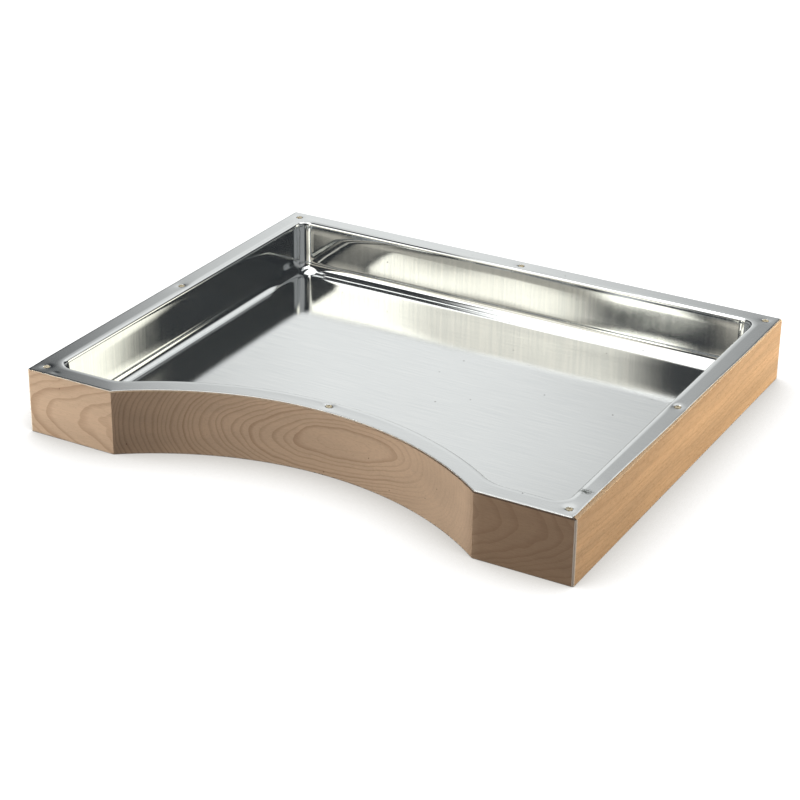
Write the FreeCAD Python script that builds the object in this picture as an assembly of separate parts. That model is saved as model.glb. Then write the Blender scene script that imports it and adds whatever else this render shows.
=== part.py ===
import FreeCAD, Part
import math
import os

from FreeCAD import Vector

# Jeweller's bench tray: a pressed sheet-steel pan screwed down onto a mitred beech frame.
#
# The front rail is sawn to a concave curve, so that the tray fits round the person who sits at it.
# +X is to the right, +Y to the back and +Z up. The origin is the middle of the frame's underside.
# All sizes are in millimetres.

# Frame
WIDTH = 520.0
DEPTH = 434.0
HEIGHT = 60.0  # underside of the rails to the top of the steel flange
RAIL = 18.0  # thickness of every rail, seen from above
CUT_RADIUS = 280.0  # concave front
CUT_DEPTH = 59.0  # how far the concave front reaches in
ARRIS = 1.0  # rounding of the long outer edges
CORNER_ARRIS = 2.0  # rounding of the upright corner edges
CUT_ARRIS = 0.6  # rounding of the two upright edges where the curve starts
INNER_CHAMFER = 2.0  # clears the bend under the flange

# Pan
SHEET = 0.8
SETBACK = 1.2  # from the frame's outer faces to the edge of the flange
FLANGE_CORNER = 5.0
FLANGE_FLAT = 17.0  # from the frame's outer faces to the start of the bend
LIP_RADIUS = 3.5  # bend from flange to wall, on the upper side
PAN_DEPTH = 50.0
FLOOR_RADIUS = 10.0  # cove between wall and floor
WALL_CORNER = 12.0  # upright inside corners
BLEND_RADIUS = 36.5  # sweep from the straight ends into the curve, on the pan's wall

# Screws: raised countersunk, with a cross recess
SCREW_LENGTH = 16.0
SHANK_R = 1.5
CORE_R = 1.0
HEAD_R = 2.75
DOME = 0.6
SINK = 0.3  # rim of the head below the flange
SEAT_GAP = 0.05  # around the head in the sheet
PITCH = 1.35
THREAD_CREST = 0.12  # flat along the top of the thread
THREAD_RUN_OUT = 2.6  # plain shank under the head
TIP = 2.4  # length of the point
RECESS_R = 1.45
RECESS_WIDTH = 0.75
RECESS_DEPTH = 1.5
SCREW_INSET = 10.5  # from the outer faces, at the middle of each rail
CORNER_INSET = 12.0

# Dowels across the mitres
DOWEL_R = 3.0
DOWEL_LENGTH = 20.0
DOWEL_CHAMFER = 0.8
DOWEL_SPARE = 1.0  # free depth in the holes, for glue
DOWEL_INSET = 11.5
DOWEL_HEIGHTS = (16.0, 38.0)

# Worked out from the sizes above
RAIL_HEIGHT = HEIGHT - SHEET
HALF_W = WIDTH / 2
HALF_D = DEPTH / 2
CUT_Y = -HALF_D + CUT_DEPTH - CUT_RADIUS  # centre of the concave curve
WALL_INSET = FLANGE_FLAT + LIP_RADIUS
FLOOR_TOP = HEIGHT - PAN_DEPTH
RIM_Z = HEIGHT - SINK
CONE = HEAD_R - SHANK_R  # a 90 degree head is as deep as it is wide on one side

UP = Vector(0, 0, 1)
EPS = 1e-4


# ---- plan outlines -------------------------------------------------------------------------------


def line(a, b):
    return Part.LineSegment(a, b).toShape()


def arc(a, middle, b):
    return Part.Arc(a, middle, b).toShape()


def bisect(centre, radius, a, b):
    """The middle of the short arc from a to b around centre."""
    return centre + ((a - centre) + (b - centre)).normalize() * radius


def outline(inset, blend=0.0, corner=0.0, z=0.0):
    """The frame's outline from above, moved in by inset, as a closed wire at height z.

    blend rounds the two places where the curve meets the straight ends, and corner rounds the four corners.
    """
    radius = CUT_RADIUS + inset
    front = -HALF_D + inset
    x, y = HALF_W - inset, HALF_D - inset
    centre = Vector(0, CUT_Y, z)
    reach = math.sqrt((radius + blend) ** 2 - (front + blend - CUT_Y) ** 2)
    apex = Vector(0, CUT_Y + radius, z)

    def blend_points(side):
        """Where the blend leaves the straight end, its middle, and where it meets the curve."""
        middle = Vector(side * reach, front + blend, z)
        foot = Vector(side * reach, front, z)
        touch = centre + (middle - centre) * (radius / (radius + blend))
        return foot, bisect(middle, blend, foot, touch) if blend else None, touch

    left_foot, left_mid, left_touch = blend_points(-1)
    right_foot, right_mid, right_touch = blend_points(1)
    edges = [arc(left_touch, apex, right_touch)]
    if blend:
        edges.append(arc(right_touch, right_mid, right_foot))
    edges += rounded_run([right_foot, Vector(x, front, z), Vector(x, y, z),
                          Vector(-x, y, z), Vector(-x, front, z), left_foot], corner)
    if blend:
        edges.append(arc(left_foot, left_mid, left_touch))
    return Part.Wire(Part.__sortEdges__(edges))


def rounded_run(points, radius):
    """Straight edges through points, with each corner between them rounded to radius."""
    edges = []
    start = points[0]
    for here, after in zip(points[1:-1], points[2:]):
        back = (start - here).normalize()
        on = (after - here).normalize()
        if radius:
            entry, leave = here + back * radius, here + on * radius
            middle = bisect(here + (back + on) * radius, radius, entry, leave)
            edges += [line(start, entry), arc(entry, middle, leave)]
            start = leave
        else:
            edges.append(line(start, here))
            start = here
    return edges + [line(start, points[-1])]


def prism(wire, height):
    """The solid that stands on a closed flat wire."""
    return Part.Face(wire).extrude(UP * height)


def flat_edges(shape, z):
    """Every edge of shape that lies in the plane at height z."""
    return [e for e in shape.Edges if all(abs(v.Point.z - z) < EPS for v in e.Vertexes)]


def upright_edges(shape, places):
    """The upright straight edges of shape that stand at the given (x, y) places."""
    def stands(edge, place):
        return all(math.hypot(v.X - place[0], v.Y - place[1]) < EPS for v in edge.Vertexes)
    return [e for e in shape.Edges if any(stands(e, p) for p in places)]


# ---- places --------------------------------------------------------------------------------------


def corner_places(inset):
    """The four corners, moved in by inset, as (x, y)."""
    return [(sx * (HALF_W - inset), sy * (HALF_D - inset)) for sx in (-1, 1) for sy in (-1, 1)]


def cut_corner_places():
    """The two places where the concave curve meets the front face."""
    half_chord = math.sqrt(CUT_RADIUS ** 2 - (-HALF_D - CUT_Y) ** 2)
    return [(-half_chord, -HALF_D), (half_chord, -HALF_D)]


def middle_places():
    """The screws half way along each rail; the front one is at the top of the curve."""
    x, y = HALF_W - SCREW_INSET, HALF_D - SCREW_INSET
    return [(-x, 0.0), (x, 0.0), (0.0, y), (0.0, -HALF_D + CUT_DEPTH + SCREW_INSET)]


def dowel_place(sx, sy):
    """The middle of a corner's mitre dowels and their direction, square to the mitre."""
    return sx * (HALF_W - DOWEL_INSET), sy * (HALF_D - DOWEL_INSET), Vector(sx, -sy, 0).normalize()


# ---- fasteners -----------------------------------------------------------------------------------


def cylinder(radius, length, base, direction=UP):
    return Part.makeCylinder(radius, length, base, direction)


def cone(low_r, high_r, low_z, high_z):
    return Part.makeCone(low_r, high_r, high_z - low_z, Vector(0, 0, low_z))


def dowel(x, y, z, direction, spare=0.0):
    """A beech dowel with chamfered ends, or with spare, the plain hole that it goes into."""
    length = DOWEL_LENGTH + spare
    base = Vector(x, y, z) - direction * (length / 2)
    body = cylinder(DOWEL_R, length, base, direction)
    if spare:
        return body
    ends = [e for e in body.Edges if isinstance(e.Curve, Part.Circle)]
    return body.makeChamfer(DOWEL_CHAMFER, ends)


def corner_dowels(sx, sy, spare=0.0):
    x, y, direction = dowel_place(sx, sy)
    return [dowel(x, y, z, direction, spare) for z in DOWEL_HEIGHTS]


def cross_recess():
    """A cross-shaped pocket that narrows downwards, with its mouth above the head."""
    top = RIM_Z + DOME + 0.1
    bottom = top - RECESS_DEPTH - 0.1
    taper = cone(RECESS_R * 0.35, RECESS_R, bottom, top)
    size = 2 * RECESS_R
    bars = [Part.makeBox(w, d, top - bottom, Vector(-w / 2, -d / 2, bottom))
            for w, d in ((size, RECESS_WIDTH), (RECESS_WIDTH, size))]
    return taper.common(bars[0].fuse(bars[1]))


def thread():
    """The helical ridge on the core, from below the plain shank down to the point."""
    low = RIM_Z - SCREW_LENGTH + TIP
    high = RIM_Z - THREAD_RUN_OUT
    root = CORE_R - 0.1
    half_root = PITCH * 0.3
    half_crest = THREAD_CREST / 2
    profile = Part.makePolygon([
        Vector(root, 0, low - half_root), Vector(SHANK_R, 0, low - half_crest),
        Vector(SHANK_R, 0, low + half_crest), Vector(root, 0, low + half_root),
        Vector(root, 0, low - half_root)])
    spine = Part.makeHelix(PITCH, high - low, SHANK_R)
    spine.translate(UP * low)
    return Part.Wire(spine.Edges).makePipeShell([profile], True, True)


def screw_at_origin():
    """A raised countersunk screw whose head rim is at RIM_Z, on the Z axis."""
    point_z = RIM_Z - SCREW_LENGTH
    neck_z = RIM_Z - CONE
    dome_r = (HEAD_R ** 2 + DOME ** 2) / (2 * DOME)
    dome = Part.makeSphere(dome_r, Vector(0, 0, RIM_Z + DOME - dome_r))
    cap = dome.common(cylinder(HEAD_R, DOME, Vector(0, 0, RIM_Z)))
    head = cap.fuse(cone(SHANK_R, HEAD_R, neck_z, RIM_Z))
    shank = cylinder(SHANK_R, THREAD_RUN_OUT - CONE, Vector(0, 0, RIM_Z - THREAD_RUN_OUT))
    core = cylinder(CORE_R, SCREW_LENGTH - THREAD_RUN_OUT - TIP, Vector(0, 0, point_z + TIP))
    point = cone(0.1, CORE_R, point_z, point_z + TIP)
    threaded = shank.fuse([core, point]).removeSplitter().fuse(thread())
    return threaded.fuse(head).cut(cross_recess())


def screw_hole():
    """The countersunk hole that a screw needs through the flange and down into the rail."""
    seat_r = HEAD_R + SEAT_GAP
    flare = cone(seat_r, seat_r + SINK + 1, RIM_Z, HEIGHT + 1)
    seat = cone(SHANK_R, seat_r, RIM_Z - (seat_r - SHANK_R), RIM_Z)
    hole = cylinder(SHANK_R + SEAT_GAP, SCREW_LENGTH, Vector(0, 0, RIM_Z - SCREW_LENGTH))
    return seat.fuse([flare, hole])


def copies(shape, places):
    """shape moved to each (x, y) place."""
    made = []
    for x, y in places:
        one = shape.copy()
        one.translate(Vector(x, y, 0))
        made.append(one)
    return made


# ---- wooden frame --------------------------------------------------------------------------------


def frame_ring():
    """All four rails as one ring, with their outer edges rounded and their inner top edge chamfered."""
    body = prism(outline(0), RAIL_HEIGHT)
    body = body.makeFillet(CORNER_ARRIS, upright_edges(body, corner_places(0)))
    body = body.makeFillet(CUT_ARRIS, upright_edges(body, cut_corner_places()))
    body = body.makeFillet(ARRIS, flat_edges(body, 0) + flat_edges(body, RAIL_HEIGHT))
    blend = BLEND_RADIUS + WALL_INSET - RAIL
    hollow = prism(outline(RAIL, blend), RAIL_HEIGHT)
    top = prism(outline(RAIL - INNER_CHAMFER, blend + INNER_CHAMFER, z=RAIL_HEIGHT), 1)
    flare = Part.makeLoft([outline(RAIL, blend, z=RAIL_HEIGHT - INNER_CHAMFER),
                           outline(RAIL - INNER_CHAMFER, blend + INNER_CHAMFER, z=RAIL_HEIGHT)], True)
    return body.cut(hollow).cut(flare).cut(top)


def mitre_region(sx, sy):
    """The part of the plan that belongs to one rail, bounded by the 45 degree mitres at its two ends."""
    over, reach = 10.0, 130.0
    x, y = HALF_W, HALF_D
    if sy:
        corners = [(-x - over, sy * (y + over)), (x + over, sy * (y + over)),
                   (x - reach, sy * (y - reach)), (-x + reach, sy * (y - reach))]
    else:
        corners = [(sx * (x + over), -y - over), (sx * (x + over), y + over),
                   (sx * (x - reach), y - reach), (sx * (x - reach), -y + reach)]
    points = [Vector(px, py, -1) for px, py in corners]
    return prism(Part.makePolygon(points + points[:1]), HEIGHT + 2)


def rails():
    """The four rails, each with its screw holes and dowel holes."""
    ring = frame_ring()
    holes = copies(screw_hole(), corner_places(CORNER_INSET) + middle_places())
    for sx in (-1, 1):
        for sy in (-1, 1):
            holes += corner_dowels(sx, sy, DOWEL_SPARE)
    regions = {"front_rail": (0, -1), "back_rail": (0, 1), "left_rail": (-1, 0), "right_rail": (1, 0)}
    return {name: ring.common(mitre_region(*side)).cut(holes) for name, side in regions.items()}


# ---- steel pan -----------------------------------------------------------------------------------


def pan_skin(grow, floor_z, top_z, cove):
    """The closed block under one side of the pan's walls, grown outwards, with its bottom edges rounded."""
    wire = outline(WALL_INSET - grow, BLEND_RADIUS + grow, WALL_CORNER + grow, floor_z)
    block = prism(wire, top_z - floor_z)
    return block.makeFillet(cove, flat_edges(block, floor_z))


def steel_pan():
    """The pressed pan: flange, bend, upright walls, cove and floor, all one sheet thick."""
    flange = prism(outline(SETBACK, 0, FLANGE_CORNER, RAIL_HEIGHT), SHEET)
    outside = flange.fuse(pan_skin(SHEET, FLOOR_TOP - SHEET, RAIL_HEIGHT, FLOOR_RADIUS + SHEET))
    outside = outside.removeSplitter()
    under = [e for e in flat_edges(outside, RAIL_HEIGHT) if not on_rim(e)]
    outside = outside.makeFillet(LIP_RADIUS - SHEET, under)
    pan = outside.cut(pan_skin(0, FLOOR_TOP, HEIGHT + 1, FLOOR_RADIUS))
    mouth = [e for e in flat_edges(pan, HEIGHT) if not on_rim(e)]
    pan = pan.makeFillet(LIP_RADIUS, mouth)
    return pan.cut(copies(screw_hole(), corner_places(CORNER_INSET) + middle_places()))


def on_rim(edge):
    """Whether an edge belongs to the flange's outer outline, and not to the mouth of the pan."""
    point = edge.valueAt((edge.FirstParameter + edge.LastParameter) / 2)
    near_side = HALF_W - abs(point.x) < WALL_INSET / 2 or HALF_D - abs(point.y) < WALL_INSET / 2
    from_curve = math.hypot(point.x, point.y - CUT_Y) - CUT_RADIUS
    return near_side or from_curve < WALL_INSET / 2


# ---- output --------------------------------------------------------------------------------------


def build():
    """Every node's name and its solids."""
    nodes = rails()
    nodes["steel_pan"] = steel_pan()
    screw = screw_at_origin()
    nodes["corner_screws"] = Part.makeCompound(copies(screw, corner_places(CORNER_INSET)))
    nodes["rail_screws"] = Part.makeCompound(copies(screw, middle_places()))
    for across, sx in (("left", -1), ("right", 1)):
        for along, sy in (("front", -1), ("back", 1)):
            nodes[f"{along}_{across}_dowels"] = Part.makeCompound(corner_dowels(sx, sy))
    return nodes


def main():
    os.makedirs("parts", exist_ok=True)
    for name, shape in build().items():
        volume = round(shape.Volume / 1000, 2)
        print(name, len(shape.Solids), "solids, valid:", shape.isValid(), "volume cm3:", volume)
        shape.exportStep(f"parts/{name}.step")


main()
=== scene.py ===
import math

import bpy
import numpy as np
from mathutils import Matrix, Vector


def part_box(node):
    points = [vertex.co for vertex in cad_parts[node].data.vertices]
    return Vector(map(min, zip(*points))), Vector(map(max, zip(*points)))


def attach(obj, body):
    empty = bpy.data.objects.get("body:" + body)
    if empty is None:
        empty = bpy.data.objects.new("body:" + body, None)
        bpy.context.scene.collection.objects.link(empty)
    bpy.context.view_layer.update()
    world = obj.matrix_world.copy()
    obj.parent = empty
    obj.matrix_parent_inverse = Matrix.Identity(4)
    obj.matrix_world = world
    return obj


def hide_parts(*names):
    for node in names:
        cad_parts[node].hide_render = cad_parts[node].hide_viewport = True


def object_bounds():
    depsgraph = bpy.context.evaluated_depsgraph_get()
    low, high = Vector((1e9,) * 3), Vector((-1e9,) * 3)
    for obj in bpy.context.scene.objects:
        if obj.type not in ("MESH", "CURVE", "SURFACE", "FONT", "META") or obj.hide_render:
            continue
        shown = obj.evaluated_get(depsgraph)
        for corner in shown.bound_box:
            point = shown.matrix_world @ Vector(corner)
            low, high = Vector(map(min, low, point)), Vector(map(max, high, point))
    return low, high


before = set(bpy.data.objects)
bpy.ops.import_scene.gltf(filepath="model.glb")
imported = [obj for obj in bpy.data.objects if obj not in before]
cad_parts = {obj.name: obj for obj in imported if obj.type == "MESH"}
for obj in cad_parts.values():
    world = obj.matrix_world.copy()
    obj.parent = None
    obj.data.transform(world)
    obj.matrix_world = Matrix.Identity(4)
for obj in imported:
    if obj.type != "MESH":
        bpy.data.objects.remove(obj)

CAD_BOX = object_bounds()
MM = 0.001

# ---- sizes of the pan, in millimetres, as in the CAD model ---------------------------------------

HALF_W = CAD_BOX[1].x / MM
HALF_D = CAD_BOX[1].y / MM
SHEET = 0.8
FLANGE_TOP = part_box("steel_pan")[1].z / MM
FLOOR_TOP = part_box("steel_pan")[0].z / MM + SHEET
WOOD_TOP = FLANGE_TOP - SHEET
ARRIS = 1.0  # rounding of the rails' outer edges
WOOD_FLAT = 16.0  # from the frame's outer faces to the chamfer inside the rails
CUT_RADIUS = 280.0
CUT_DEPTH = 59.0
CUT_Y = -HALF_D + CUT_DEPTH - CUT_RADIUS
FLANGE_FLAT = 17.0
LIP_RADIUS = 3.5
WALL_INSET = FLANGE_FLAT + LIP_RADIUS
WALL_CORNER = 12.0
BLEND_RADIUS = 36.5
FLOOR_RADIUS = 10.0
SCREW_INSET = 10.5
CORNER_INSET = 12.0
HOLE_R = 2.95

# ---- what the visual pan has and the CAD pan hasn't ----------------------------------------------

LIP_TURN = 84  # degrees; the wall leans the rest of the way to upright over its top few millimetres
LIP_SPREAD = 0.3  # how far the bend starts outside its nominal place
LEAN_DEPTH = 9.0
EDGE_INSET = 0.5  # from the frame's outer faces to the trimmed edge
EDGE_CORNER = 1.6
ROUNDED_CORNER = 5.5  # the front right corner, cut rounder than the others
HORN_EDGE = 0.9
EDGE_TUCK = 0.12  # how far the sheared edge is turned down
EDGE_LOW = 0.36  # how far the flange sinks at its edge
EDGE_LOW_EASED = 0.26  # how much less along the flat front
BEND_HIGH = 0.19  # how far it rises towards the bend
DIMPLE = (0.34, 4.2)  # depth and radius of the dip round a screw
PULL = (0.18, 13.0)  # depth and radius of the wider dip around it
DENT = (-234.0, -211.0)  # a small dent in the front left flange
DENT_DEPTH = 0.2
DENT_RADII = (2.5, 1.8)
DROOP = 0.26  # how far the front left corner is bent down
DROOP_REACH = (2.0, 24.0)
PAD_IN = (13.5, 10.0)  # from the walls to the middle of a pad, in x and in y
PAD_UP = 1.8  # from the floor to the middle of a pad
PAD_LEAN = (0.394, 0.338)  # slope of a pad towards the middle of the tray, in x and in y
PAD_RADIUS = 6.8
PAD_FADE = (-2.5, 3.5)  # where a pad ends, around its radius
PAD_BLEND = 0.2
FLOOR_WAVE = 0.10
WALL_WAVES = (0.04, 0.05)  # side walls, back wall

# How many points each stretch of the outline gets
ARC_POINTS = 170
BLEND_POINTS = 18
HORN_POINTS = 34
CORNER_POINTS = 12
SIDE_POINTS = 190
BACK_POINTS = 230


# ---- the pressed pan -----------------------------------------------------------------------------


def turn(centre, radius, start, end, count):
    """count points on a circle from one angle to another, without the last one."""
    angles = start + (end - start) * np.arange(count) / count
    return np.stack([centre[0] + radius * np.cos(angles), centre[1] + radius * np.sin(angles)], 1)


def run(start, end, count):
    """count points on a straight line, without the last one."""
    share = (np.arange(count) / count)[:, None]
    return np.array(start) * (1 - share) + np.array(end) * share


def outline(inset, blend, corner):
    """The frame's outline from above, moved in by inset, anticlockwise from the curve's left end."""
    radius = CUT_RADIUS + inset
    front = -HALF_D + inset
    x, y = HALF_W - inset, HALF_D - inset
    reach = math.sqrt((radius + blend) ** 2 - (front + blend - CUT_Y) ** 2)
    rise = math.atan2(front + blend - CUT_Y, reach)
    quarter = math.pi / 2
    return np.concatenate([
        turn((0, CUT_Y), radius, math.pi - rise, rise, ARC_POINTS),
        turn((reach, front + blend), blend, math.pi + rise, 3 * quarter, BLEND_POINTS),
        run((reach, front), (x - corner, front), HORN_POINTS),
        turn((x - corner, front + corner), corner, -quarter, 0, CORNER_POINTS),
        run((x, front + corner), (x, y - corner), SIDE_POINTS),
        turn((x - corner, y - corner), corner, 0, quarter, CORNER_POINTS),
        run((x - corner, y), (-x + corner, y), BACK_POINTS),
        turn((-x + corner, y - corner), corner, quarter, 2 * quarter, CORNER_POINTS),
        run((-x, y - corner), (-x, front + corner), SIDE_POINTS),
        turn((-x + corner, front + corner), corner, 2 * quarter, 3 * quarter, CORNER_POINTS),
        run((-x + corner, front), (-reach, front), HORN_POINTS),
        turn((-reach, front + blend), blend, 3 * quarter, 4 * quarter - rise, BLEND_POINTS),
    ])


def ring(inset, z, blend, corner):
    """The outline moved in by inset, as points at height z."""
    plan = outline(inset, blend, corner)
    return np.column_stack([plan, np.full(len(plan), z)])


def wall_ring(grow, z):
    """The wall's outline at height z, moved outwards by grow."""
    return ring(WALL_INSET - grow, z, BLEND_RADIUS + grow, WALL_CORNER + grow)


def smooth(x, low, high):
    """A smooth step from 0 below low to 1 above high."""
    share = np.clip((x - low) / (high - low), 0, 1)
    return share * share * (3 - 2 * share)


def screw_places():
    """The eight screws' places from above: four corners, then the middle of each rail."""
    x, y = HALF_W - CORNER_INSET, HALF_D - CORNER_INSET
    corners = [(sx * x, sy * y) for sx in (-1, 1) for sy in (-1, 1)]
    x, y = HALF_W - SCREW_INSET, HALF_D - SCREW_INSET
    return corners + [(-x, 0), (x, 0), (0, y), (0, -HALF_D + CUT_DEPTH + SCREW_INSET)]


def flange_edge():
    """The hand-trimmed outer edge of the flange, which wanders a little from the frame's faces."""
    edge = ring(EDGE_INSET, FLANGE_TOP, HORN_EDGE, EDGE_CORNER)
    rounded = ring(EDGE_INSET, FLANGE_TOP, HORN_EDGE, ROUNDED_CORNER)
    near = 1 - smooth(np.hypot(edge[:, 0] - HALF_W, edge[:, 1] + HALF_D), 10, 80)
    edge += (rounded - edge) * near[:, None]
    x, y = edge[:, 0], edge[:, 1]
    right = smooth(x, HALF_W - 4, HALF_W - 1)
    edge[:, 0] -= right * (1.0 + 2.2 * smooth(-y, -150, HALF_D) + 0.25 * np.sin(y / 31.0))
    curve = smooth(y, -HALF_D - 1, -HALF_D + 4) * (1 - smooth(y, -120, -100))
    edge[:, 1] += 0.5 * curve * (1 - smooth(np.abs(x), 172, 180)) * smooth(-x, -40, 60)
    return edge


def flange_height(x, y, share):
    """How far the sheet's top lies from its nominal height: low at its edge and at the screws."""
    flat_front = smooth(-y, 140, 165) * smooth(x, -200, -150)
    edge = -EDGE_LOW + EDGE_LOW_EASED * flat_front
    rise = edge * (1 - share) + BEND_HIGH * share + 0.04 * np.sin(x / 37.0 + 1.0) * np.sin(y / 29.0)
    from_dent = ((x - DENT[0]) / DENT_RADII[0]) ** 2 + ((y - DENT[1]) / DENT_RADII[1]) ** 2
    rise -= DENT_DEPTH * np.exp(-from_dent)
    for sx, sy in screw_places():
        away = np.hypot(x - sx, y - sy)
        rise -= sum(depth * np.exp(-((away / radius) ** 2)) for depth, radius in (DIMPLE, PULL))
    return rise


def corner_droop(x, y):
    """The front left corner, bent down when it was screwed tight."""
    away = np.hypot(x + HALF_W, y + HALF_D)
    return -DROOP * (1 - smooth(away, *DROOP_REACH))


def pan_rings():
    """Rings of points over the pan's upper surface, from the flange's edge to the foot of the wall."""
    outer = flange_edge()
    lip = wall_ring(LIP_RADIUS + LIP_SPREAD, FLANGE_TOP)
    rings = []
    for share in [0, 0.018, 0.045] + list(np.linspace(0.1, 1, 15)):
        row = outer * (1 - share) + lip * share
        tuck = 1 - smooth(share, 0, 0.06)
        level = 1 - smooth(share, 0.85, 1.0)
        x, y = row[:, 0], row[:, 1]
        row[:, 2] += flange_height(x, y, share) * level + corner_droop(x, y)
        row[:, 2] -= EDGE_TUCK * tuck
        rings.append(row)
    for step in range(1, 11):
        angle = math.radians(LIP_TURN) * step / 10
        grow = LIP_RADIUS * (1 - math.sin(angle)) + LIP_SPREAD
        top = FLANGE_TOP - LIP_RADIUS * (1 - math.cos(angle))
        rings.append(wall_ring(grow, top))
    foot = FLOOR_TOP + FLOOR_RADIUS
    lean = math.tan(math.radians(90 - LIP_TURN)) * LEAN_DEPTH
    for depth in list(np.linspace(0, LEAN_DEPTH, 7)[1:]) + list(np.linspace(LEAN_DEPTH, top - foot, 5)[1:]):
        share = min(depth / LEAN_DEPTH, 1)
        wall = grow - lean * (share - share * share / 2)
        rings.append(wall_ring(wall, top - depth))
    for step in range(1, 15):
        angle = math.pi / 2 * step / 14
        inwards = FLOOR_RADIUS * (1 - math.cos(angle))
        rings.append(wall_ring(wall - inwards, foot - FLOOR_RADIUS * math.sin(angle)))
    return rings


def floor_rings(edge):
    """Rings that shrink from the foot of the wall towards the middle of the floor."""
    middle = np.array([0.0, 60.0, FLOOR_TOP])
    shares = list(np.linspace(1, 0.94, 16)[1:]) + list(np.linspace(0.94, 0, 25)[1:-1])
    return [middle + (edge - middle) * share for share in shares]


def corner_pads(points):
    """Lifts the floor's four corners into small round pads, tilted towards the middle of the tray."""
    moved = points.copy()
    reach_x = HALF_W - WALL_INSET - PAD_IN[0]
    reach_y = HALF_D - WALL_INSET - PAD_IN[1]
    for sx, sy in ((-1, -1), (1, -1), (1, 1), (-1, 1)):
        middle = np.array([sx * reach_x, sy * reach_y, FLOOR_TOP + PAD_UP])
        facing = np.array([-sx * PAD_LEAN[0], -sy * PAD_LEAN[1], 1.0])
        facing /= np.linalg.norm(facing)
        depth = (moved - middle) @ facing
        lifted = PAD_BLEND * np.logaddexp(0, depth / PAD_BLEND) - depth
        away = np.linalg.norm(moved - middle, axis=1)
        near = 1 - smooth(away, PAD_RADIUS + PAD_FADE[0], PAD_RADIUS + PAD_FADE[1])
        moved += (lifted * near)[:, None] * facing
    return moved


def unevenness(points):
    """Slow waves in the pressed sheet's walls and floor, at most 0.15 mm high."""
    x, y, z = points.T
    floor = smooth(-z, -FLOOR_TOP - FLOOR_RADIUS, -FLOOR_TOP)
    below_lip = smooth(-z, -FLANGE_TOP + LIP_RADIUS, -FLANGE_TOP + 14)
    wave = np.sin(x / 41.0 + 0.7) * np.sin(y / 47.0 + 0.4) + 0.5 * np.sin((x + y) / 23.0)
    moved = points.copy()
    moved[:, 2] += floor * (FLOOR_WAVE * wave)
    side, back = wall_share(x, y)
    moved[:, 0] += below_lip * (1 - floor) * side * WALL_WAVES[0] * np.sin(y / 26.0 + z / 17.0)
    moved[:, 1] += below_lip * (1 - floor) * back * WALL_WAVES[1] * np.sin(x / 31.0 + z / 19.0)
    return moved


def wall_share(x, y):
    """How much a point belongs to a side wall and to the back wall."""
    side = smooth(np.abs(x), HALF_W - WALL_INSET - 11, HALF_W - WALL_INSET - 1)
    back = smooth(y, HALF_D - WALL_INSET - 11, HALF_D - WALL_INSET - 1)
    clear_of_back = 1 - smooth(y, HALF_D - 90, HALF_D - WALL_INSET - WALL_CORNER)
    clear_of_sides = 1 - smooth(np.abs(x), HALF_W - 90, HALF_W - WALL_INSET - WALL_CORNER)
    return side * clear_of_back, back * clear_of_sides


def mesh_object(name, vertices, faces):
    mesh = bpy.data.meshes.new(name)
    mesh.from_pydata([tuple(v) for v in vertices], [], faces)
    mesh.update()
    made = bpy.data.objects.new(name, mesh)
    bpy.context.scene.collection.objects.link(made)
    return made


def ring_faces(rings, count):
    """Quads between each ring and the next, and one face that closes the last ring."""
    faces = []
    for level in range(rings - 1):
        a, b = level * count, (level + 1) * count
        for i in range(count):
            j = (i + 1) % count
            faces.append((a + i, a + j, b + j, b + i))
    last = (rings - 1) * count
    faces.append(tuple(range(last, last + count)))
    return faces


def screw_cutter():
    """Short rods where the flange needs its screw holes."""
    vertices, faces, sides = [], [], 40
    for sx, sy in screw_places():
        first = len(vertices)
        circle = turn((sx, sy), HOLE_R, 0, 2 * math.pi, sides)
        for z in (FLANGE_TOP - 4, FLANGE_TOP + 3):
            vertices += [(px * MM, py * MM, z * MM) for px, py in circle]
        for i in range(sides):
            j = (i + 1) % sides
            faces.append((first + i, first + j, first + sides + j, first + sides + i))
        faces.append(tuple(range(first + sides - 1, first - 1, -1)))
        faces.append(tuple(range(first + sides, first + 2 * sides)))
    return mesh_object("screw_cutter", vertices, faces)


def rest_on_wood(pan):
    """Lifts the flange's underside to the top of the rails wherever it lies lower than the wood does."""
    for vertex in pan.data.vertices:
        x, y, z = vertex.co / MM
        inset = min(HALF_W - abs(x), HALF_D - abs(y), math.hypot(x, y - CUT_Y) - CUT_RADIUS)
        if inset > WOOD_FLAT:
            continue
        over_edge = min(max(ARRIS - inset, 0), ARRIS)
        wood = WOOD_TOP - ARRIS + math.sqrt(ARRIS ** 2 - over_edge ** 2)
        vertex.co.z = max(z, wood) * MM


def apply_modifiers(made):
    """Replaces an object's mesh with the result of its modifiers."""
    shown = made.evaluated_get(bpy.context.evaluated_depsgraph_get())
    result = bpy.data.meshes.new_from_object(shown)
    made.modifiers.clear()
    made.data = result


def pressed_pan(steel, sheared):
    """The pan as one sheet of steel, with its sheared rim in a second material."""
    rings = pan_rings()
    rings += floor_rings(rings[-1])
    points = unevenness(corner_pads(np.concatenate(rings))) * MM
    pan = mesh_object("pressed_pan", points, ring_faces(len(rings), len(rings[0])))
    pan.data.materials.append(steel)
    pan.data.materials.append(sheared)
    for face in pan.data.polygons:
        face.use_smooth = True
    sheet = pan.modifiers.new("sheet", "SOLIDIFY")
    sheet.thickness = SHEET * MM
    sheet.offset = -1
    sheet.use_even_offset = True
    sheet.material_offset_rim = 1
    cutter = screw_cutter()
    holes = pan.modifiers.new("holes", "BOOLEAN")
    holes.operation = "DIFFERENCE"
    holes.solver = "EXACT"
    holes.object = cutter
    apply_modifiers(pan)
    rest_on_wood(pan)
    bpy.data.objects.remove(cutter)
    return pan


# ---- node helpers --------------------------------------------------------------------------------


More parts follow.
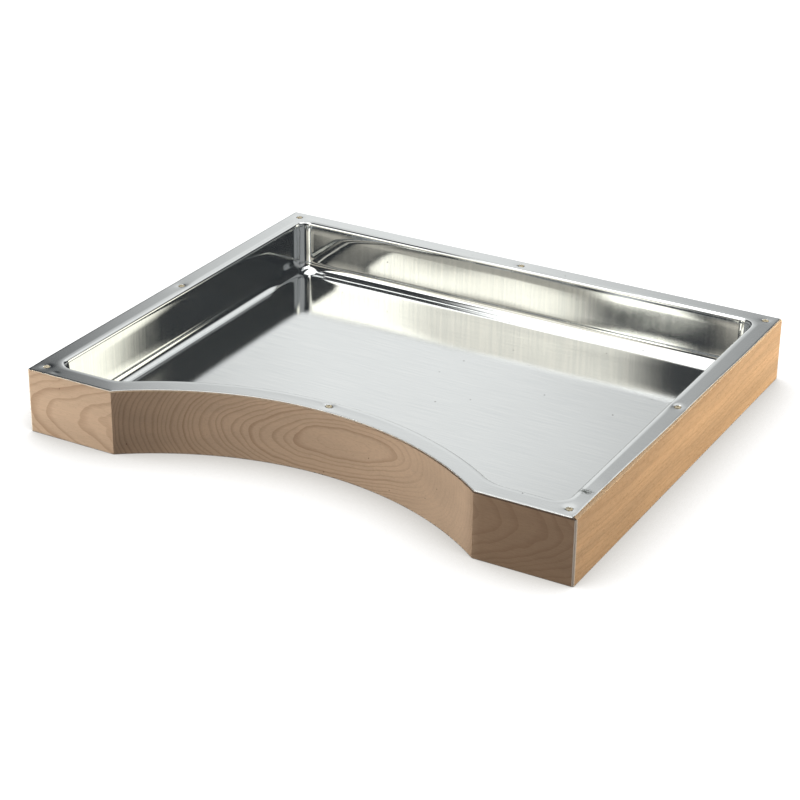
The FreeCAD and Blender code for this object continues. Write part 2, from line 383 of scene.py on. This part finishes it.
class Graph:
    """A material's or world's node graph. Values may be numbers, tuples or sockets."""

    def __init__(self, tree):
        self.tree = tree
        tree.nodes.clear()

    def node(self, kind, inputs=(), **settings):
        made = self.tree.nodes.new(kind)
        for key, value in settings.items():
            setattr(made, key, value)
        for key, value in dict(inputs).items():
            self.feed(made.inputs[key], value)
        return made

    def feed(self, socket, value):
        if isinstance(value, bpy.types.NodeSocket):
            self.tree.links.new(value, socket)
        else:
            socket.default_value = value

    def math(self, operation, *values):
        made = self.node("ShaderNodeMath", operation=operation)
        for socket, value in zip(made.inputs, values):
            self.feed(socket, value)
        return made.outputs[0]

    def add(self, a, b):
        return self.math("ADD", a, b)

    def times(self, a, b):
        return self.math("MULTIPLY", a, b)

    def ramp(self, value, low, high, start=0.0, end=1.0):
        """A smooth step: start below low and end above high."""
        made = self.node("ShaderNodeMapRange", {"Value": value, "From Min": low, "From Max": high,
                                                "To Min": start, "To Max": end},
                         interpolation_type="SMOOTHSTEP")
        return made.outputs["Result"]

    def band(self, value, low, full, fading, high):
        """A smooth hill: 0 below low and above high, and 1 between full and fading."""
        return self.times(self.ramp(value, low, full), self.ramp(value, fading, high, 1.0, 0.0))

    def length(self, a, b):
        """The length of a line that goes a one way and b the other."""
        return self.math("SQRT", self.add(self.math("POWER", a, 2.0), self.math("POWER", b, 2.0)))

    def noise(self, vector, scale, detail=2.0, roughness=0.5):
        made = self.node("ShaderNodeTexNoise", {"Vector": vector, "Scale": scale, "Detail": detail,
                                                "Roughness": roughness})
        return made.outputs["Fac"]

    def stretch(self, vector, scales):
        made = self.node("ShaderNodeVectorMath", {0: vector, 1: scales}, operation="MULTIPLY")
        return made.outputs["Vector"]

    def shift(self, vector, offset):
        made = self.node("ShaderNodeVectorMath", {0: vector, 1: offset}, operation="ADD")
        return made.outputs["Vector"]

    def split(self, vector):
        made = self.node("ShaderNodeSeparateXYZ", {"Vector": vector})
        return made.outputs["X"], made.outputs["Y"], made.outputs["Z"]

    def mix(self, share, a, b, blend="MIX"):
        made = self.node("ShaderNodeMix", data_type="RGBA", blend_type=blend)
        self.feed(made.inputs[0], share)
        self.feed(made.inputs[6], a)
        self.feed(made.inputs[7], b)
        return made.outputs[2]

    def bump(self, height, strength, distance):
        made = self.node("ShaderNodeBump", {"Height": height, "Strength": strength, "Distance": distance})
        return made.outputs["Normal"]

    def show(self, shader, output="ShaderNodeOutputMaterial"):
        """Links a shader to a new output node."""
        self.tree.links.new(shader.outputs[0], self.node(output).inputs["Surface"])


def material(name):
    """A new material, its graph, and the position on the object in millimetres."""
    made = bpy.data.materials.new(name)
    made.use_nodes = True
    graph = Graph(made.node_tree)
    place = graph.node("ShaderNodeTexCoord").outputs["Object"]
    return made, graph, graph.stretch(place, (1000, 1000, 1000))


def finish_material(graph, **inputs):
    """Adds the surface shader, with input names written with underscores for spaces."""
    values = {key.replace("_", " "): value for key, value in inputs.items()}
    graph.show(graph.node("ShaderNodeBsdfPrincipled", values))


def rgb(red, green, blue):
    """A colour given as it looks on screen, 0 to 255."""
    def linear(value):
        share = value / 255
        return share / 12.92 if share <= 0.04045 else ((share + 0.055) / 1.055) ** 2.4
    return (linear(red), linear(green), linear(blue), 1.0)


# ---- beech ---------------------------------------------------------------------------------------


SPECKS = ((46.6, 30.0), (69.0, 8.4), (124.0, 34.0), (110.0, 19.0), (-163.0, 9.6), (-226.0, 49.0), (1.0, 3.4))
FIBRE_ALONG = 0.09  # how finely the fibres vary along the grain, with 1 for across it
CLOUD = 0.35  # how finely the broad tone varies, with 1 for the fibres


def scales(along, lengthways, crossways):
    """Noise scales for the three axes, with one of its own along the grain."""
    return tuple(lengthways if axis == along else crossways for axis in range(3))


def tree_rings(graph, place, along, heart, taper, lean, skew):
    """How far out in the tree a point lies, and how far along the grain from the heart's place."""
    axes = graph.split(graph.shift(place, tuple(-v for v in heart)))
    far = axes[along]
    near = graph.node("ShaderNodeClamp", {0: far, 1: -80.0, 2: 60.0}).outputs[0]
    crosswise = [axes[i] for i in range(3) if i != along]
    across = [graph.add(axis, graph.times(near, slope)) for axis, slope in zip(crosswise, lean)]
    cone = graph.times(graph.math("POWER", far, 2.0), taper)
    cone = graph.times(cone, graph.ramp(far, 60.0, 170.0, 1.0, 1.0 + skew))
    wander = graph.noise(graph.stretch(place, (0.016, 0.016, 0.016)), 1.0, 2.0)
    ripple = graph.noise(graph.stretch(place, (0.05, 0.05, 0.05)), 1.0, 2.0)
    uneven = graph.add(graph.times(wander, 7.0), graph.times(ripple, 1.6))
    return graph.add(graph.add(graph.length(*across), cone), uneven), far


def late_wood(graph, rings, spacing, core, contrast):
    """The dark part of each ring, and how dark it is, which differs from ring to ring."""
    pace = graph.noise(graph.node("ShaderNodeCombineXYZ", {"X": rings}).outputs[0], 0.11, 2.0)
    phase = graph.add(graph.times(rings, 1 / spacing), graph.times(pace, 2.6))
    late = graph.band(graph.math("FRACT", phase), 0.45, 0.94, 0.95, 1.0)
    late = graph.times(late, graph.ramp(rings, core - 1.0, core))
    number = graph.node("ShaderNodeCombineXYZ", {"X": graph.math("FLOOR", phase)}).outputs[0]
    each = graph.noise(number, 0.77, 0.0)
    return late, graph.times(graph.ramp(each, 0.3, 0.7, 0.55, 1.0), contrast)


def beech(name, pale, dark, along, heart, taper, spacing, contrast, lean=(0.0, 0.0), faint=None, core=0.0,
          skew=0.0, fleck_share=0.20, streak=0.05, painted_end_shade=(1, 1, 1, 1)):
    """Sawn beech with the grain along one axis. The tree's rings lie round a line through heart.

    taper is how fast the rings narrow away from the heart's place along the grain, and skew makes them narrow
    faster on one side of it. lean tilts the line of the rings. core is the smallest ring that shows. faint is
    the stretch along the grain, from the heart, over which the rings hardly show, and painted_end_shade is
    painted shade, a tint that darkens the board beyond it.
    """
    made, graph, place = material(name)
    rings, far = tree_rings(graph, place, along, heart, taper, lean, skew)
    late, strength = late_wood(graph, rings, spacing, core, contrast)
    if faint:
        start, end = faint
        before = graph.ramp(far, start, start + 60, 1.0, 0.25)
        beyond = graph.ramp(far, end - 15, end, 0.0, 0.62)
        strength = graph.times(strength, graph.math("MAXIMUM", before, beyond))

    fibre = graph.noise(graph.stretch(place, scales(along, FIBRE_ALONG, 1.0)), 1.1, 4.0, 0.7)
    elsewhere = graph.shift(place, (31, 17, 5))
    fleck = graph.noise(graph.stretch(elsewhere, scales(along, 0.3, 1.3)), 1.0, 2.0, 0.5)
    flecks = graph.ramp(fleck, 0.56, 0.70)
    cloud = graph.noise(graph.stretch(place, scales(along, FIBRE_ALONG * CLOUD, CLOUD)), 0.16, 3.0)

    colour = graph.mix(graph.times(late, strength), pale, dark)
    colour = graph.mix(graph.times(flecks, fleck_share), colour, dark)
    fine_tone = graph.ramp(fibre, 0.25, 0.75, 0.965 - streak / 2, 1.035 + streak / 2)
    tone = graph.add(fine_tone, graph.ramp(cloud, 0.3, 0.7, -streak, streak))
    tint = graph.node("ShaderNodeCombineColor", {0: tone, 1: tone, 2: tone}).outputs[0]
    colour = graph.mix(1.0, colour, tint, "MULTIPLY")
    if faint:
        # painted shade: the board beyond the faint stretch is darkened by the painted_end_shade tint
        shaded = graph.mix(graph.ramp(far, end - 15, end + 8), (1, 1, 1, 1), painted_end_shade)
        colour = graph.mix(1.0, colour, shaded, "MULTIPLY")
    corner, painted_highlight = painted_edge_highlights(graph, place)
    # painted highlight: the upright corners and the top edge lightened towards pale cream
    colour = graph.mix(painted_highlight, colour, rgb(246, 232, 210))
    if along == 0:
        colour = specked(graph, place, colour)
        # painted shadow: a dark line just under the flange's rim on the front board's right half
        colour = graph.mix(painted_rim_shadow(graph, place), colour, rgb(66, 46, 34))
    height = graph.add(graph.times(fibre, 0.6), graph.times(late, 0.25))
    finish_material(graph, Base_Color=colour, Roughness=graph.ramp(fibre, 0.2, 0.8, 0.62, 0.50),
                    Specular_IOR_Level=0.35, Normal=graph.bump(height, 0.25, 0.00012), Coat_Weight=corner,
                    Coat_IOR=2.0, Coat_Roughness=0.3)
    return made


def painted_edge_highlights(graph, place):
    """Pale colour painted on as a highlight: how much on the upright corners, and there and along the top
    edge together.
    """
    x, y, z = graph.split(place)
    from_middle = graph.add(graph.math("ABSOLUTE", x), graph.math("ABSOLUTE", y))
    tip = HALF_W + HALF_D
    corner = graph.ramp(from_middle, tip - 1.9, tip - 1.6, 0.0, 0.9)
    top = graph.ramp(z, 58.3, 58.9, 0.0, 0.4)
    return corner, graph.math("MAXIMUM", corner, top)


def painted_rim_shadow(graph, place):
    """Painted shadow of the flange's rim: a dark line on the front board's right half, just under the flange,
    where the arris turns in.
    """
    x, y, z = graph.split(place)
    right = graph.times(graph.ramp(x, 20.0, 150.0, 0.25, 0.85), graph.ramp(y, 0.0, 10.0, 1.0, 0.0))
    return graph.times(graph.ramp(z, 57.7, 58.5), right)


def specked(graph, place, colour):
    """A few pin-sized dark specks on the front and back boards, running from front to back."""
    x, _, z = graph.split(place)
    for speck_x, speck_z in SPECKS:
        away = graph.length(graph.add(x, -speck_x), graph.add(z, -speck_z))
        colour = graph.mix(graph.ramp(away, 0.3, 0.9, 0.6, 0.0), colour, rgb(92, 66, 48))
    return colour


# ---- metal ---------------------------------------------------------------------------------------


SMUDGE = (247.0, -174.0, 60.0)
HAZE_SHARE = 0.035
HAZE_ROUGHNESS = 0.5


def coated_steel():
    """Bright zinc-coated sheet: satin on the floor, drawn streaks on the walls, specks and a smudge."""
    made, graph, place = material("zinc_coated_sheet")
    normal = graph.split(graph.node("ShaderNodeNewGeometry").outputs["True Normal"])
    level = graph.ramp(graph.math("ABSOLUTE", normal[2]), 0.55, 0.9)
    rolling = graph.noise(graph.stretch(place, (0.02, 0.9, 0.9)), 1.0, 4.0, 0.6)
    drawing = graph.noise(graph.stretch(place, (0.45, 0.45, 0.012)), 1.0, 1.0, 0.5)
    grain = graph.mix(level, drawing, rolling)
    blotch = graph.noise(place, 0.018, 3.0)
    dots = graph.node("ShaderNodeTexVoronoi", {"Vector": place, "Scale": 0.045, "Randomness": 1.0})
    spot = graph.ramp(dots.outputs["Distance"], 0.024, 0.042, 1.0, 0.0)
    clean = graph.mix(graph.ramp(grain, 0.3, 0.7), rgb(232, 234, 235), rgb(241, 242, 242))
    near_top = graph.ramp(graph.split(place)[2], 50.0, 57.0, 0.0, 0.3)
    clean = graph.mix(near_top, clean, rgb(222, 224, 225))
    colour = graph.mix(graph.times(spot, 0.75), clean, rgb(70, 66, 60))
    patchy = graph.noise(place, 0.45, 3.0)
    from_smudge = graph.shift(place, tuple(-v for v in SMUDGE))
    smudge = graph.node("ShaderNodeVectorMath", {0: graph.stretch(from_smudge, (0.11, 0.17, 0.2))},
                        operation="LENGTH").outputs["Value"]
    smear = graph.times(graph.ramp(smudge, 0.2, 1.0, 0.9, 0.0), graph.ramp(patchy, 0.35, 0.6))
    colour = graph.mix(smear, colour, rgb(80, 84, 78))
    rough = graph.add(graph.ramp(level, 0.0, 1.0, 0.078, 0.108), graph.ramp(blotch, 0.3, 0.7, -0.01, 0.01))
    rough = graph.add(rough, graph.ramp(grain, 0.3, 0.7, -0.004, 0.008))
    bumpy = graph.bump(grain, graph.ramp(level, 0.0, 1.0, 0.006, 0.03), 0.00006)
    sharp, hazy = [graph.node("ShaderNodeBsdfAnisotropic",
                              {"Color": colour, "Roughness": spread, "Normal": bumpy},
                              distribution="BECKMANN").outputs[0] for spread in (rough, HAZE_ROUGHNESS)]
    graph.show(graph.node("ShaderNodeMixShader", {0: HAZE_SHARE, 1: sharp, 2: hazy}))
    return made


def cut_steel():
    """The bright sheared edge of the sheet."""
    made, graph, place = material("sheared_edge")
    burr = graph.noise(place, 0.8, 3.0)
    finish_material(graph, Base_Color=rgb(238, 236, 230), Metallic=0.6,
                    Roughness=graph.ramp(burr, 0.3, 0.7, 0.35, 0.6))
    return made


def plated_screw():
    """Yellow zinc plating, rubbed grey on the high spots, with painted shade darkening the recess."""
    made, graph, place = material("plated_screw")
    patch = graph.noise(place, 0.9, 3.0)
    _, _, z = graph.split(place)
    colour = graph.mix(graph.ramp(patch, 0.35, 0.65), rgb(226, 216, 184), rgb(206, 202, 186))
    painted_recess_shade = graph.ramp(z, 59.2, 59.65, 1.0, 0.0)
    # painted shade: the recess, below 59.65 mm, darkened towards dark brown
    colour = graph.mix(painted_recess_shade, colour, rgb(60, 54, 42))
    finish_material(graph, Base_Color=colour, Metallic=0.25, Roughness=graph.ramp(patch, 0.3, 0.7, 0.4, 0.55))
    return made


# ---- studio --------------------------------------------------------------------------------------


def studio_world():
    """Soft fill for matt surfaces, and for bright metal a dark room.

    Behind the tray the room has a low and a high white wall and a white sweep. Its sides and front are grey,
    and it is white overhead.
    """
    world = bpy.data.worlds.new("studio")
    bpy.context.scene.world = world
    world.use_nodes = True
    graph = Graph(world.node_tree)
    x, y, z = graph.split(graph.node("ShaderNodeTexCoord").outputs["Generated"])
    azimuth = graph.times(graph.math("ARCTAN2", x, y), 180 / math.pi)
    height = graph.times(graph.math("ARCSINE", z), 180 / math.pi)
    low_wall = graph.band(azimuth, -44.5, -31.0, -28.5, -8.5)
    low_wall = graph.times(low_wall, graph.ramp(height, 24.0, 46.0, 1.0, 0.0))
    behind = graph.ramp(y, -0.1, 0.1)
    high_wall = graph.band(x, -0.56, -0.44, 0.22, 0.46)
    high_wall = graph.times(high_wall, graph.band(height, 27.0, 33.0, 54.0, 62.0))
    sweep = graph.ramp(height, 3.0, 10.0, 0.7, 0.0)
    white = graph.math("MAXIMUM", graph.math("MAXIMUM", high_wall, low_wall), sweep)
    white = graph.times(white, behind)
    sides = graph.math("MAXIMUM", graph.ramp(x, 0.62, 0.80), graph.ramp(x, -0.85, -0.72, 1.0, 0.0))
    sides = graph.math("MAXIMUM", sides, graph.ramp(y, -0.96, -0.89, 1.0, 0.0))
    sides = graph.times(sides, graph.ramp(height, 4.0, 14.0, 0.0, 0.36))
    overhead = graph.ramp(z, 0.91, 0.96, 0.0, 0.85)
    white = graph.math("MAXIMUM", white, graph.math("MAXIMUM", sides, overhead))
    room = graph.mix(white, (0.019, 0.023, 0.027, 1), (0.90, 0.915, 0.905, 1))
    fill = graph.mix(graph.ramp(z, -0.2, 0.9), (0.036, 0.0215, 0.012, 1), (0.108, 0.076, 0.050, 1))
    glossy = graph.node("ShaderNodeLightPath").outputs["Is Glossy Ray"]
    seen = graph.mix(glossy, fill, room)
    graph.show(graph.node("ShaderNodeBackground", {"Color": seen, "Strength": 1.0}), "ShaderNodeOutputWorld")


def lamp(name, place, aim, size, radiance, colour):
    """A soft lamp for the matt surfaces, which the bright metal doesn't mirror."""
    data = bpy.data.lights.new(name, "AREA")
    data.shape = "RECTANGLE"
    data.size, data.size_y = size
    data.energy = radiance * math.pi * size[0] * size[1]
    data.color = colour
    made = bpy.data.objects.new(name, data)
    bpy.context.scene.collection.objects.link(made)
    made.location = place
    made.rotation_euler = (Vector(aim) - Vector(place)).to_track_quat("-Z", "Y").to_euler()
    made.visible_glossy = False


def card(name, low, high, radiance, colour, soft=(0.06, 0.06)):
    """A glowing flat card with soft edges, between two corners, that only glossy surfaces mirror."""
    low, high = Vector(low), Vector(high)
    flat = min(range(3), key=lambda i: high[i] - low[i])
    u, v = [i for i in range(3) if i != flat]
    corners = []
    for pick_u, pick_v in ((low, low), (high, low), (high, high), (low, high)):
        corner = list(low)
        corner[u], corner[v] = pick_u[u], pick_v[v]
        corners.append(corner)
    made = mesh_object(name, corners, [(0, 1, 2, 3)])
    glow, graph, _ = material(name)
    axes = graph.split(graph.node("ShaderNodeTexCoord").outputs["Object"])
    share = 1.0
    for i, edge in zip((u, v), soft):
        inside = graph.band(axes[i], low[i], low[i] + 2 * edge, high[i] - 2 * edge, high[i])
        share = graph.times(share, inside)
    emission = graph.node("ShaderNodeEmission", {"Color": colour + (1,), "Strength": radiance})
    clear = graph.node("ShaderNodeBsdfTransparent")
    graph.show(graph.node("ShaderNodeMixShader", {0: share, 1: clear.outputs[0], 2: emission.outputs[0]}))
    made.data.materials.append(glow)
    made.visible_camera = False
    made.visible_diffuse = False
    made.visible_shadow = False


def studio_lamps():
    """A small cool lamp from the front left and a larger warm one from the back right."""
    lamp("key_left", (-0.713, -0.752, 0.479), (-0.18, -0.18, 0.03), (0.39, 0.39), 18.8, (1.0, 0.975, 0.925))
    lamp("warm_side", (1.10, 0.75, 0.50), (0.2, 0, 0.03), (0.6, 0.6), 16.4, (1.0, 0.92, 0.79))


def studio_cards():
    """The cards stand in front of the tray and to its right, or hang over its left half."""
    card("card_front", (-0.90, -0.60, 0.330), (-0.235, -0.60, 0.415), 1.58, (1.0, 0.97, 0.84), (0.06, 0.010))
    card("card_left", (-1.00, -0.605, 0.40), (-0.52, -0.605, 0.90), 1.7, (1.0, 0.98, 0.86), (0.05, 0.012))
    card("card_upper", (-0.90, -0.61, 0.395), (-0.15, -0.61, 0.90), 1.0, (1.0, 0.97, 0.86), (0.06, 0.012))
    card("card_dim", (-0.90, -0.615, -0.04), (-0.15, -0.615, 0.36), 0.46, (1.0, 0.96, 0.82), (0.06, 0.012))
    card("card_patch", (-0.27, -0.606, 0.12), (-0.095, -0.606, 0.340), 2.4, (1.0, 0.985, 0.86), (0.03, 0.004))
    card("card_low", (-0.10, -0.60, 0.15), (0.26, -0.60, 0.42), 0.62, (1.0, 0.94, 0.80), (0.02, 0.06))
    card("card_right", (0.60, 0.40, -0.04), (0.60, 1.065, 1.00), 1.6, (1.0, 0.975, 0.83), (0.062, 0.03))
    card("over_front", (-1.15, -1.3, 1.2), (-0.05, -0.40, 1.2), 2.0, (1.0, 1.0, 0.98))
    card("over_middle", (-0.66, -0.52, 1.21), (-0.05, 0.45, 1.21), 2.0, (1.0, 1.0, 0.98))
    card("over_corner", (-0.34, 0.45, 1.2), (-0.02, 0.78, 1.2), 6.0, (1.0, 1.0, 0.98), (0.02, 0.02))


def studio_floor():
    """A white floor that is bright everywhere but close to the tray, where the tray shades it."""
    corners = [(-6, -6, 0), (6, -6, 0), (6, 6, 0), (-6, 6, 0)]
    floor = mesh_object("studio_floor", corners, [(0, 1, 2, 3)])
    made, graph, _ = material("white_sweep")
    shade = graph.node("ShaderNodeAmbientOcclusion", {"Distance": 0.35}, samples=12)
    open_share = shade.outputs["AO"]
    colour = graph.mix(graph.ramp(open_share, 0.4, 1.0), rgb(250, 246, 240), rgb(255, 255, 255))
    strength = graph.times(open_share, 1.37)
    graph.show(graph.node("ShaderNodeEmission", {"Color": colour, "Strength": strength}))
    floor.data.materials.append(made)
    floor.visible_diffuse = False


CAMERA_PLACE = (0.8521, -1.5496, 0.8667)
CAMERA_AIM = (-0.0151, -0.0001, 0.0)
CAMERA_ROLL = 0.69  # degrees
CAMERA_LENS = 99.24


def camera():
    """The camera, in front of the tray, to its right and above it."""
    data = bpy.data.cameras.new("camera")
    data.lens = CAMERA_LENS
    made = bpy.data.objects.new("camera", data)
    bpy.context.scene.collection.objects.link(made)
    place, aim = Vector(CAMERA_PLACE), Vector(CAMERA_AIM)
    look = (aim - place).to_track_quat("-Z", "Y").to_matrix().to_4x4()
    roll = Matrix.Rotation(math.radians(CAMERA_ROLL), 4, "Z")
    made.matrix_world = Matrix.Translation(place) @ look @ roll
    data.clip_start, data.clip_end = 0.05, 50
    bpy.context.scene.camera = made


# ---- assembly ------------------------------------------------------------------------------------


def dress(node, finish):
    """Gives a CAD node its material."""
    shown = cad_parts[node]
    shown.data.materials.clear()
    shown.data.materials.append(finish)


# the front board's right end is darkened by painted shade through painted_end_shade
front_wood = beech("beech_front", rgb(208, 181, 154), rgb(160, 126, 100), along=0, heart=(26, -140, 36),
                   taper=0.00028, spacing=2.7, contrast=0.55, lean=(0.09, -0.12), faint=(30.0, 147.0),
                   core=26.3, skew=0.5, painted_end_shade=(0.64, 0.585, 0.53, 1))
side_wood = beech("beech_side", rgb(212, 174, 130), rgb(172, 129, 84), along=1, heart=(300, 40, 70),
                  taper=0.00012, spacing=4.0, contrast=0.35, fleck_share=0.6, streak=0.13)
back_wood = beech("beech_back", rgb(206, 176, 144), rgb(165, 128, 98), along=0, heart=(-60, 260, 20),
                  taper=0.00015, spacing=3.0, contrast=0.4)
dowel_wood = beech("beech_dowel", rgb(205, 176, 140), rgb(170, 134, 100), along=2, heart=(0, 0, 0),
                   taper=0.0, spacing=1.5, contrast=0.4)

dress("front_rail", front_wood)
dress("back_rail", back_wood)
dress("left_rail", side_wood)
dress("right_rail", side_wood)
for corner in ("front_left", "front_right", "back_left", "back_right"):
    dress(f"{corner}_dowels", dowel_wood)
screw_metal = plated_screw()
dress("corner_screws", screw_metal)
dress("rail_screws", screw_metal)

pan = pressed_pan(coated_steel(), cut_steel())
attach(pan, "root")
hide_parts("steel_pan")

studio_world()
studio_floor()
studio_lamps()
studio_cards()
camera()
bpy.context.scene.view_settings.view_transform = "Standard"
